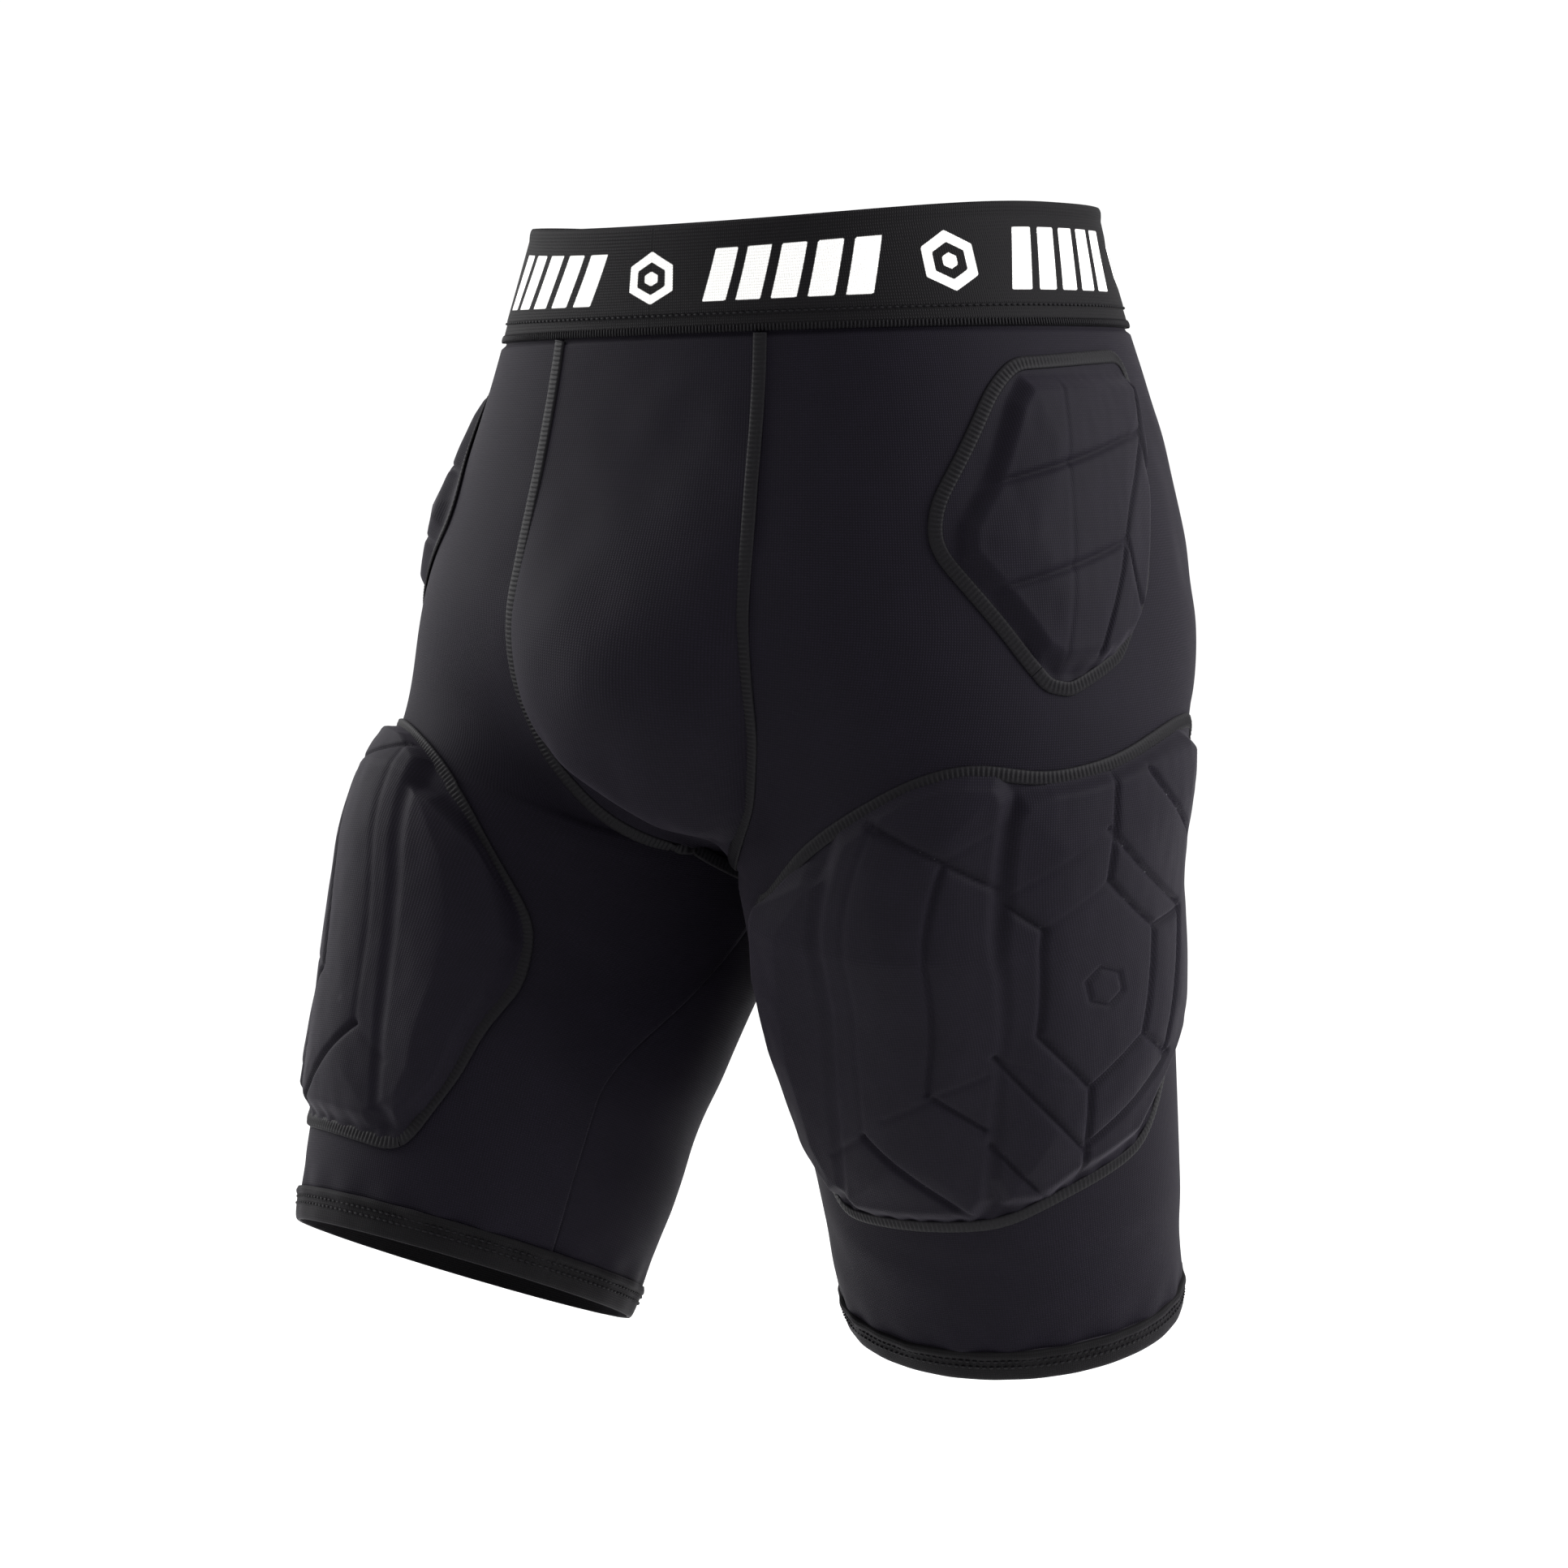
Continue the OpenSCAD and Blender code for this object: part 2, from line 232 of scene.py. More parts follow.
def make_object(name, points, faces, uv=None):
    """A smooth mesh object from points, a list of faces and, where given, each point's place on the
    flat pattern, all in metres."""
    mesh = bpy.data.meshes.new(name)
    mesh.from_pydata(points.reshape(-1, 3), [], faces)
    layer = mesh.uv_layers.new(name="UVMap")
    if uv is not None:
        corner = np.zeros(len(mesh.loops), np.int32)
        mesh.loops.foreach_get("vertex_index", corner)
        layer.data.foreach_set("uv", uv.reshape(-1, 2)[corner].astype(np.float32).ravel())
    mesh.polygons.foreach_set("use_smooth", np.ones(len(mesh.polygons), bool))
    mesh.update()
    made = bpy.data.objects.new(name, mesh)
    bpy.context.scene.collection.objects.link(made)
    return made


def grid_faces(rows, columns, wrap):
    """Faces of a closed sheet: its outer grid, its inner grid, and the rims between them."""
    ids = np.arange(rows * columns).reshape(rows, columns)
    if wrap:
        ids = np.concatenate([ids, ids[:, :1]], 1)
    under = ids + rows * columns
    quad = [ids[:-1, :-1], ids[:-1, 1:], ids[1:, 1:], ids[1:, :-1]]
    back = [under[:-1, :-1], under[1:, :-1], under[1:, 1:], under[:-1, 1:]]
    low = [ids[0, :-1], under[0, :-1], under[0, 1:], ids[0, 1:]]
    high = [ids[-1, 1:], under[-1, 1:], under[-1, :-1], ids[-1, :-1]]
    parts = [quad, back, low, high]
    if not wrap:
        parts.append([ids[1:, 0], under[1:, 0], under[:-1, 0], ids[:-1, 0]])
        parts.append([ids[:-1, -1], under[:-1, -1], under[1:, -1], ids[1:, -1]])
    return np.concatenate([np.stack([c.ravel() for c in part], 1) for part in parts])


def cloth_sheet(name, side, s, z, top, bottom, wrap=False, x=None):
    """A closed sheet over a grid of the form, between the heights bottom and top. x is the distance
    across its flat pattern, in millimetres."""
    side, s, z, top, bottom = np.broadcast_arrays(np.asarray(side, float), s, z, top, bottom)
    rows, columns = s.shape
    points = np.stack([skin(side, s, z, top), skin(side, s, z, bottom)])
    faces = grid_faces(rows, columns, wrap)
    if side.flat[0] < 0 and (side < 0).all():
        faces = faces[:, ::-1]
    flat = np.stack([s * THIGH_ROUND if x is None else x, z], -1) * MM
    return make_object(name, points, faces.tolist(), np.stack([flat, flat]))


def relax(piece, rows, columns, share, times):
    """Evens out a sheet's grid by a share at each point. Its edges stay where they are."""
    spots = np.zeros(6 * rows * columns)
    piece.data.vertices.foreach_get("co", spots)
    grid = spots.reshape(2, rows, columns, 3)
    for _ in range(times):
        mean = grid.copy()
        mean[:, 1:-1, 1:-1] = (grid[:, :-2, 1:-1] + grid[:, 2:, 1:-1]
                               + grid[:, 1:-1, :-2] + grid[:, 1:-1, 2:]) / 4
        grid = mix(grid, mean, share[None, ..., None])
    piece.data.vertices.foreach_set("co", grid.ravel())
    piece.data.update()


def soft_lookup(x, table, reach=0.045):
    """As lookup, with the corners of the line rounded."""
    return (lookup(x - reach, table) + 2 * lookup(x, table) + lookup(x + reach, table)) / 4


def round_corners(u, v, radius):
    """Moves the points near the corners of the unit square onto quarter circles of that radius."""
    ends, width = np.stack([2 * u - 1, 2 * v - 1]), 2 * radius
    over = np.maximum(np.abs(ends) - 1 + width, 0) / width
    shrink = over.max(0) / np.maximum(np.hypot(*over), 1e-9)
    moved = np.sign(ends) * (1 - width + width * over * shrink)
    return (np.where((over > 0).all(0), moved, ends) + 1) / 2


def patch(side, front, back, low, high, drop=0, corner=0.0, around=THIGH_ROUND):
    """A four-sided patch of the form, with front and back edges over v and low and high edges over u.
    It gives side, s, z and the distance across the flat pattern."""

    def at(u, v):
        if corner:
            u, v = round_corners(u, v, corner)
        s = mix(soft_lookup(v, front), soft_lookup(v, back), u)
        z = mix(soft_lookup(u, low), soft_lookup(u, high), v) - drop
        return np.full(s.shape, float(side)), s, z, s * around

    return at


def even(rows, columns):
    """An even grid of u and v over the unit square."""
    v, u = np.meshgrid(np.linspace(0, 1, rows), np.linspace(0, 1, columns), indexing="ij")
    return u, v


def wobble(x, z, length, seed):
    """A smooth random surface from -1 to 1 with features of about that length."""
    random = np.random.RandomState(seed)
    total = np.zeros(np.broadcast(x, z).shape)
    for _ in range(7):
        angle, phase = random.uniform(0, 2 * np.pi, 2)
        pitch = 2 * np.pi / (length * random.uniform(0.7, 1.6))
        total += np.sin(pitch * (x * np.cos(angle) + z * np.sin(angle)) + phase)
    return total / 4


def line_distance(x, z, line, closed=False):
    """Distance from each point to a line through a few points of the flat pattern."""
    ends = list(line) + ([line[0]] if closed else [])
    best = np.full(np.broadcast(x, z).shape, 1e9)
    for (ax, az), (bx, bz) in zip(ends[:-1], ends[1:]):
        dx, dz = bx - ax, bz - az
        t = clamp01(((x - ax) * dx + (z - az) * dz) / (dx * dx + dz * dz))
        best = np.minimum(best, np.hypot(x - ax - t * dx, z - az - t * dz))
    return best


def depth_inside(x, z, outline):
    """Distance to the outline, positive inside it and negative outside."""
    inside = np.zeros(np.broadcast(x, z).shape, bool)
    for (ax, az), (bx, bz) in zip(outline, outline[1:] + outline[:1]):
        if az != bz:
            crosses = (az > z) != (bz > z)
            inside ^= crosses & (x < (bx - ax) * (z - az) / (bz - az) + ax)
    return np.where(inside, 1, -1) * line_distance(x, z, outline, closed=True)


# ---- pad patterns: outlines and pressed channels on the flat pattern, in millimetres ----
HIP_POCKET = dict(
    front=[(0, 0.365), (0.1, 0.345), (0.42, 0.267), (0.55, 0.272), (0.92, 0.345), (1, 0.36)],
    back=[(0, 0.48), (0.2, 0.535), (0.5, 0.565), (1, 0.59)],
    low=[(0, -186), (0.3, -189), (1, -174)],
    high=[(0, -64), (1, -60)],
)
HIP_FOAM = dict(
    front=[(0, 0.375), (0.4, 0.295), (0.55, 0.3), (0.92, 0.362), (1, 0.374)],
    back=[(0, 0.46), (0.2, 0.512), (0.5, 0.543), (1, 0.57)],
    low=[(0, -177), (0.3, -180), (1, -165)],
    high=[(0, -73), (1, -70)],
)
THIGH_POCKET = dict(
    front=[(0, 0.15), (0.25, 0.11), (0.5, 0.1), (0.7, 0.118), (1, 0.19)],
    back=[(0, 0.5), (0.3, 0.55), (1, 0.615)],
    low=[(0, -426), (0.45, -421), (0.6, -410), (0.85, -398), (1, -360)],
    high=[(0, -258), (0.08, -240), (0.2, -222), (0.3, -216), (0.45, -221), (0.6, -217),
          (0.85, -205), (1, -206)],
)
INNER_FOAM = dict(
    front=[(0, 0.16), (0.25, 0.133), (0.5, 0.123), (0.7, 0.14), (1, 0.196)],
    back=[(0, 0.163), (1, 0.206)],
    low=[(0, -409), (1, -409)],
    high=[(0, -276), (1, -264)],
)
FRONT_FOAM = dict(
    front=[(0, 0.174), (1, 0.22)],
    back=[(0, 0.306), (0.6, 0.34), (1, 0.334)],
    low=[(0, -413), (1, -410)],
    high=[(0, -252), (0.3, -238), (1, -228)],
)
OUTER_FOAM = dict(
    front=[(0, 0.322), (0.6, 0.353), (1, 0.356)],
    back=[(0, 0.49), (0.3, 0.53), (1, 0.59)],
    low=[(0, -411), (0.3, -403), (0.8, -386), (1, -362)],
    high=[(0, -231), (0.4, -228), (0.8, -217), (1, -217)],
)
THIGH_FOAMS = {"inner": INNER_FOAM, "front": FRONT_FOAM, "outer": OUTER_FOAM}

THIGH_SHAPES = [
    [(112, -264), (121, -264), (97, -407), (88, -411), (72, -395), (67, -350), (71, -318), (88, -280)],
    [(127, -247), (148, -229), (170, -222), (186, -222), (191, -230), (191, -262), (187, -298),
     (178, -345), (166, -404), (160, -411), (104, -415), (99, -411), (112, -335)],
    [(197, -237), (201, -231), (213, -227), (247, -224), (310, -213), (322, -218), (325, -240),
     (308, -300), (290, -348), (256, -372), (241, -386), (207, -396), (190, -405), (176, -405),
     (172, -394), (181, -334), (197, -268)],
]
THIGH_CHANNELS = [
    [(136, -239), (168, -251), (192, -263)],
    [(170, -252), (150, -350)],
    [(152, -352), (170, -369)],
    [(118, -375), (160, -413)],
    [(247, -222), (239, -265)],
    [(240, -243), (281, -289)],
    [(209, -281), (196, -270)],
    [(209, -281), (196, -327), (215, -356), (244, -340), (260, -293), (239, -265)],
    [(260, -293), (282, -293), (258, -357)],
    [(215, -356), (210, -400)],
    [(178, -335), (212, -388)],
    [(172, -377), (194, -409)],
    [(213, -383), (262, -356)],
    [(270, -222), (303, -259)],
    [(244, -340), (260, -356)],
]
THIGH_CREASES = [
    [(170, -251), (190, -240)],
    [(154, -350), (174, -343)],
    [(130, -364), (150, -353)],
    [(98, -389), (118, -375)],
    [(139, -238), (123, -328), (118, -375)],
    [(197, -266), (238, -244)],
    [(209, -281), (239, -265)],
    [(215, -356), (178, -335)],
]
EMBLEM_PLACE, EMBLEM_SIZE = (227, -311), 9
HIP_SHAPES = [
    [(193, -75), (184, -83), (166, -112), (152, -128), (151, -137), (166, -152), (183, -172),
     (192, -176), (220, -174), (253, -163), (265, -140), (274, -120), (284, -95), (285, -75)],
]
HIP_CHANNELS = [
    [(158, -113), (274, -94)],
    [(158, -151), (243, -134)],
    [(284, -70), (274, -95), (243, -133), (215, -174)],
    [(274, -95), (277, -122)],
    [(243, -133), (254, -164)],
]
HIP_CREASES = [
    [(215, -72), (206, -104)],
    [(206, -104), (200, -142)],
    [(200, -142), (192, -178)],
]
TAIL_SHAPES = [
    [(-16, -157), (16, -157), (27, -134), (36, -106), (38, -82), (31, -73), (-31, -73), (-38, -82),
     (-36, -106), (-27, -134)],
]
TAIL_CHANNELS = [
    [(0, -73), (0, -157)],
    [(-37, -96), (0, -108), (37, -96)],
    [(-29, -126), (0, -136), (29, -126)],
]


# Pad relief, in millimetres: soft rim outside and inside an outline, reach of the crown, channel widths
RIM_OUT, RIM_IN, CROWN_REACH = 6.5, 3.0, 26
CHANNEL_WIDTH, CREASE_WIDTH, EMBLEM_WIDTH = 1.35, 1.4, 1.1
RIM_LOSS, CROWN_RISE, PILLOW_RISE, CREASE_DEPTH = 3.5, 2.8, 0.7, 0.5


def groove(away, width):
    """How deep a pressed line is, from 1 on it to 0 away from it."""
    return np.exp(-((away / width) ** 2))


def pad_height(x, z, shapes, channels, creases, sizes, emblem=None):
    """Height of the pocket cloth over its foams: raised on each foam, pressed in along the channels."""
    full = sizes.pad_height / MM
    low = np.ones(np.broadcast(x, z).shape)
    crown = np.zeros(low.shape)
    for shape in shapes:
        deep = depth_inside(x, z, shape)
        low *= 1 - ramp(-RIM_OUT, RIM_IN, deep)
        crown = np.maximum(crown, ramp(0, CROWN_REACH, deep))
    rise = 1 - low
    near = np.full(rise.shape, 1e9)
    press = np.zeros(rise.shape)
    for line in channels:
        away = line_distance(x, z, line)
        near = np.minimum(near, away)
        press = np.maximum(press, groove(away, CHANNEL_WIDTH))
    fold = np.zeros(rise.shape)
    for line in creases:
        fold = np.maximum(fold, groove(line_distance(x, z, line), CREASE_WIDTH))
    if emblem:
        away = line_distance(x, z, hexagon(*emblem), closed=True)
        press = np.maximum(press, 0.75 * groove(away, EMBLEM_WIDTH))
    pillow = 1 - np.exp(-near / 5)
    height = rise * (full - RIM_LOSS + CROWN_RISE * crown + PILLOW_RISE * pillow)
    height -= rise * (press * sizes.channel_depth / MM + CREASE_DEPTH * fold)
    return np.maximum(height, 0.0)


def hexagon(centre, radius):
    """The corners of a hexagon with a point upwards."""
    angles = np.radians(np.arange(6) * 60 + 30)
    return [(centre[0] + radius * math.cos(a), centre[1] + radius * math.sin(a)) for a in angles]


# ---- user settings ----
def length_setting(name, description, default, low, high):
    return bpy.props.FloatProperty(
        name=name, description=description, default=default, min=low, max=high, unit="LENGTH")


class ShortsSizes(bpy.types.PropertyGroup):
    """Sizes a maker would change."""

    pad_height: length_setting(
        "Pad height", "Height of a pad over the base cloth", 0.0094, 0.004, 0.0095)
    channel_depth: length_setting(
        "Channel depth", "Depth of the channels pressed into a pad", 0.0019, 0.0, 0.004)
    cover: length_setting(
        "Pocket cloth", "Thickness of the cloth over the pads", 0.0011, 0.0005, 0.0015)
    seam_width: length_setting("Seam width", "Width of a flat seam", 0.0064, 0.004, 0.009)
    seam_pitch: length_setting(
        "Seam pitch", "Distance between two loops of a flat seam", 0.0021, 0.0012, 0.004)
    stitch_pitch: length_setting(
        "Stitch pitch", "Distance between two stitches of the needle rows", 0.0032, 0.002, 0.006)
    pouch_swell: length_setting(
        "Pouch swell", "How far the pouch stands out of the front", 0.017, 0.0, 0.03)


def colour_setting(name, description, default):
    return bpy.props.StringProperty(name=name, description=description, default=default)


class ShortsColours(bpy.types.PropertyGroup):
    """Colours as sRGB hex values."""

    jersey: colour_setting("Jersey", "Base cloth", "0c0912")
    pocket: colour_setting("Pocket cloth", "Cloth over the pads", "0d0a13")
    elastic: colour_setting("Elastic", "Ground of the waistband", "09080a")
    motif: colour_setting("Motif", "Yarn of the waistband's pattern", "dcdbd9")
    thread: colour_setting("Thread", "Seam thread", "060508")
    foam: colour_setting("Foam", "Foam of the pads", "3a3a3e")
    floor: colour_setting("Floor", "Stage floor", "ffffff")


def linear(text):
    """A hex sRGB colour as linear RGBA."""
    parts = [int(text[i:i + 2], 16) / 255 for i in (0, 2, 4)]
    return [c / 12.92 if c <= 0.04045 else ((c + 0.055) / 1.055) ** 2.4 for c in parts] + [1.0]


def add(tree, kind, inputs=None, **settings):
    """Adds a node, sets its properties, and fills its inputs with values or other nodes' outputs."""
    made = tree.nodes.new(kind)
    for key, value in settings.items():
        setattr(made, key, value)
    for key, value in (inputs or {}).items():
        if isinstance(value, bpy.types.NodeSocket):
            tree.links.new(value, made.inputs[key])
        else:
            made.inputs[key].default_value = value
    return made


def new_material(name):
    """An empty node material and its tree."""
    made = bpy.data.materials.new(name)
    made.use_nodes = True
    made.node_tree.nodes.clear()
    return made, made.node_tree


def finish_material(tree, shader):
    """Joins a shader to the material's output."""
    add(tree, "ShaderNodeOutputMaterial", {"Surface": shader.outputs["BSDF"]})


def yarn_lines(tree, place, pitch, way, distortion):
    """Wavy lines at a pitch in millimetres. A wave's bands repeat every 2 pi / (20 scale)."""
    return add(tree, "ShaderNodeTexWave", {
        "Vector": place, "Scale": 2 * math.pi / 20 / (pitch * MM), "Distortion": distortion,
        "Detail": 1.0, "Detail Scale": 2.0}, bands_direction=way).outputs["Fac"]


def two_tones(tree, value, colour, low, high):
    """A dark and a light tone of a colour over the value: each end is (place, share of the colour)."""
    made = add(tree, "ShaderNodeValToRGB", {"Fac": value})
    for end, (place, share) in zip(made.color_ramp.elements, (low, high)):
        end.position = place
        end.color = [c * share for c in linear(colour)[:3]] + [1.0]
    return made.outputs["Color"]


def bumped(tree, height, strength, lift):
    """The normal of a surface whose height rises by lift millimetres."""
    return add(tree, "ShaderNodeBump", {
        "Strength": strength, "Distance": lift * MM, "Height": height}).outputs["Normal"]


def knit_cloth(name, colour, wale, course, lift, roughness, sheen):
    """Knitted nylon and elastane: fine upright wales crossed by courses, matt, with a soft nap."""
    made, tree = new_material(name)
    place = add(tree, "ShaderNodeUVMap", uv_map="UVMap").outputs["UV"]
    wales = yarn_lines(tree, place, wale, "X", 0.6)
    courses = yarn_lines(tree, place, course, "Y", 0.6)
    loops = add(tree, "ShaderNodeMath", {0: wales, 1: courses}, operation="MULTIPLY").outputs[0]
    patches = add(tree, "ShaderNodeTexNoise", {
        "Vector": place, "Scale": 60.0, "Detail": 4.0, "Roughness": 0.6}).outputs["Fac"]
    fine = add(tree, "ShaderNodeTexNoise", {
        "Vector": place, "Scale": 1600.0, "Detail": 2.0, "Roughness": 0.5}).outputs["Fac"]
    blend = add(tree, "ShaderNodeMath", {0: loops, 1: fine, 2: -0.18}, operation="MULTIPLY_ADD")
    tone = add(tree, "ShaderNodeMath", {0: patches, 1: 0.35, 2: blend.outputs[0]},
               operation="MULTIPLY_ADD").outputs[0]
    grain = add(tree, "ShaderNodeMath", {0: fine, 1: 0.5, 2: loops}, operation="MULTIPLY_ADD")
    finish_material(tree, add(tree, "ShaderNodeBsdfPrincipled", {
        "Base Color": two_tones(tree, tone, colour, (0.0, 0.55), (0.75, 1.45)),
        "Roughness": roughness, "Specular IOR Level": 0.07, "Sheen Weight": sheen,
        "Sheen Roughness": 0.4, "Sheen Tint": [0.82, 0.74, 0.92, 1.0],
        "Normal": bumped(tree, grain.outputs[0], 0.6, lift)}))
    return made


def woven_elastic(name, ground, yarn):
    """Woven elastic: fine rows along the band give it a ribbed, slightly silky face, with a pattern
    in white yarn."""
    made, tree = new_material(name)
    place = add(tree, "ShaderNodeUVMap", uv_map="UVMap").outputs["UV"]
    rows = yarn_lines(tree, place, 1.5, "Y", 0.4)
    picks = yarn_lines(tree, place, 1.1, "X", 0.8)
    fine = add(tree, "ShaderNodeTexNoise", {
        "Vector": place, "Scale": 1500.0, "Detail": 2.0}).outputs["Fac"]
    weave = add(tree, "ShaderNodeMath", {0: rows, 1: picks}, operation="MULTIPLY").outputs[0]
    grain = add(tree, "ShaderNodeMath", {0: fine, 1: 0.5, 2: weave}, operation="MULTIPLY_ADD")
    shade = add(tree, "ShaderNodeMapRange", {
        "Value": grain.outputs[0], "To Min": 0.6, "To Max": 1.5}).outputs["Result"]
    pattern = add(tree, "ShaderNodeAttribute", attribute_name="motif").outputs["Fac"]
    crisp = add(tree, "ShaderNodeMapRange", {
        "Value": pattern, "From Min": 0.4, "From Max": 0.6}).outputs["Result"]
    colour = add(tree, "ShaderNodeMixRGB", {
        "Fac": crisp, "Color1": linear(ground), "Color2": linear(yarn)}).outputs["Color"]
    toned = add(tree, "ShaderNodeVectorMath", {0: colour, "Scale": shade}, operation="SCALE")
    finish_material(tree, add(tree, "ShaderNodeBsdfPrincipled", {
        "Base Color": toned.outputs["Vector"], "Roughness": 0.7, "Specular IOR Level": 0.07,
        "Normal": bumped(tree, grain.outputs[0], 0.7, 0.35)}))
    return made


def sewing_thread(name, colour):
    """Spun polyester thread: soft, slightly lighter than the cloth, with a fine twist."""
    made, tree = new_material(name)
    place = add(tree, "ShaderNodeUVMap", uv_map="UVMap").outputs["UV"]
    fine = add(tree, "ShaderNodeTexNoise", {
        "Vector": place, "Scale": 1400.0, "Detail": 3.0}).outputs["Fac"]
    finish_material(tree, add(tree, "ShaderNodeBsdfPrincipled", {
        "Base Color": two_tones(tree, fine, colour, (0.3, 0.5), (0.7, 1.6)), "Roughness": 0.6,
        "Specular IOR Level": 0.1, "Normal": bumped(tree, fine, 0.5, 0.2)}))
    return made


def closed_cell_foam(name, colour):
    """Moulded closed-cell foam: dull, with fine cells."""
    made, tree = new_material(name)
    place = add(tree, "ShaderNodeTexCoord").outputs["Object"]
    cells = add(tree, "ShaderNodeTexVoronoi", {"Vector": place, "Scale": 900.0}).outputs["Distance"]
    finish_material(tree, add(tree, "ShaderNodeBsdfPrincipled", {
        "Base Color": linear(colour), "Roughness": 0.85, "Specular IOR Level": 0.3,
        "Normal": bumped(tree, cells, 0.4, 0.2)}))
    return made


def painted_floor(name, colour):
    """Matt painted studio floor: even and pale, so that only soft shade shows on it."""
    made, tree = new_material(name)
    finish_material(tree, add(tree, "ShaderNodeBsdfPrincipled", {
        "Base Color": linear(colour), "Roughness": 0.9, "Specular IOR Level": 0.1}))
    return made


def material(kind):
    """The named material, made once."""
    colours = bpy.context.scene.shorts_colours
    makers = {
        "knit jersey": lambda n: knit_cloth(n, colours.jersey, 1.3, 1.0, 0.22, 0.75, 0.03),
        "pocket tricot": lambda n: knit_cloth(n, colours.pocket, 1.1, 0.9, 0.18, 0.68, 0.04),
        "hem tricot": lambda n: knit_cloth(n, colours.elastic, 1.2, 1.0, 0.2, 0.72, 0.03),
        "woven elastic": lambda n: woven_elastic(n, colours.elastic, colours.motif),
        "sewing thread": lambda n: sewing_thread(n, colours.thread),
        "closed-cell foam": lambda n: closed_cell_foam(n, colours.foam),
        "painted floor": lambda n: painted_floor(n, colours.floor),
    }
    return bpy.data.materials.get(kind) or makers[kind](kind)


def dress(piece, kind, body=None, stands_for=()):
    """Gives a piece its material, fixes it to the body it rides on, and hides the frame parts that it stands
    for.
    """
    piece.data.materials.append(material(kind))
    if body:
        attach(piece, body)
    if stands_for:
        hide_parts(*stands_for)
    return piece


def leg_body(side):
    return SIDE_NAME[side] + "_leg"


def follow_leg(piece, side, s, z):
    """Bends a cloth between the hips and a leg, with the least movement at the crotch."""
    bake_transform(piece, PELVIS, leg_body(side), start=(0, 0, -0.16), end=(0, 0, -0.3))
    weights = piece.data.attributes["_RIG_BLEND"]
    weights.data.foreach_set("value", leg_share(s, z).astype(np.float32).ravel())


# ---- seams ----
def run_along(spots):
    """Distance of each point along a path."""
    return np.concatenate([[0], np.cumsum(np.linalg.norm(np.diff(spots, axis=0), axis=1))])


def unit(rows):
    """The rows scaled to length 1."""
    return rows / np.maximum(np.linalg.norm(rows, axis=1, keepdims=True), 1e-12)


def smooth_path(path, times):
    """Rounds the corners of an open path of (side, s, z) points."""
    for _ in range(times):
        path[1:-1, 1:] = (path[:-2, 1:] + 2 * path[1:-1, 1:] + path[2:, 1:]) / 4
    return path


def border(at, inset=0.01, points=160, smoothing=30):
    """The edge of a patch as a closed path of (side, s, z) points, a little inside it."""
    t = np.linspace(0, 1, points, endpoint=False)
    u = np.concatenate([t, np.ones(points), 1 - t, np.zeros(points)])
    v = np.concatenate([np.zeros(points), t, np.ones(points), 1 - t])
    u, v = mix(inset, 1 - inset, u), mix(inset, 1 - inset, v)
    side, s, z, _ = at(u, v)
    path = np.stack([side, (1 - s) * side, z], 1)
    for _ in range(smoothing):
        mean = (np.roll(path, 1, 0) + 2 * path + np.roll(path, -1, 0)) / 4
        path[:, 1:] = mean[:, 1:]
    path[:, 1] = 1 - path[:, 1] * side
    return np.concatenate([path, path[:1]])


def face_outwards(piece):
    """Turns a closed piece's faces outwards."""
    clear_selection()
    bpy.context.view_layer.objects.active = piece
    piece.select_set(True)
    bpy.ops.object.mode_set(mode="EDIT")
    bpy.ops.mesh.select_all(action="SELECT")
    bpy.ops.mesh.normals_make_consistent(inside=False)
    bpy.ops.object.mode_set(mode="OBJECT")
    piece.select_set(False)


def flat_seam(name, path, height, sizes):
    """A flat seam over the cloth: two rails of thread joined by loops, like a ladder. path holds
    (side, s, z) points, and height gives the cloth's height beside and along the seam."""
    side, s, z = path[:, 0], path[:, 1], path[:, 2]
    spots = skin(side, s, z, np.zeros_like(s))
    run = run_along(spots)
    at = np.arange(0, run[-1], sizes.seam_pitch / 5)
    side = np.sign(np.interp(at, run, np.sign(side)) + 1e-6)
    s, z = np.interp(at, run, s), np.interp(at, run, z)
    spots = skin(side, s, z, np.zeros_like(s))
    up = outward(side, s, z)
    cross = unit(np.cross(up, unit(np.gradient(spots, axis=0))))
    half = sizes.seam_width / 2
    across = np.array([-1, -0.88, -0.62, -0.3, 0, 0.3, 0.62, 0.88, 1])
    arch = np.array([0, 0.75, 1, 0.8, 0.74, 0.8, 1, 0.75, 0])
    loop = 0.5 + 0.5 * np.cos(2 * np.pi * at / sizes.seam_pitch)
    inner = np.array([0, 0.35, 0.3, 1, 1, 1, 0.3, 0.35, 0])
    wave = loop[:, None] ** 0.8 * inner[None, :]
    rise = (arch > 0)[None, :] * (0.35 + 0.55 * arch[None, :] + 0.6 * (wave - 0.3))
    level = height[0] + (height[1] - height[0]) * (across[None, :] + 1) / 2
    tall = (level + rise) * MM
    aside = cross[:, None] * (across[None, :, None] * half)
    top = spots[:, None] + aside + up[:, None] * tall[..., None]
    low = spots[:, None] + aside * 0.98 + up[:, None] * ((level - 0.35) * MM)[..., None]
    faces = grid_faces(len(at), len(across), False).tolist()
    flat = np.stack(np.broadcast_arrays(across[None, :] * half, at[:, None]), -1)
    seam = make_object(name, np.stack([top, low]), faces, np.stack([flat, flat]))
    face_outwards(seam)
    return seam


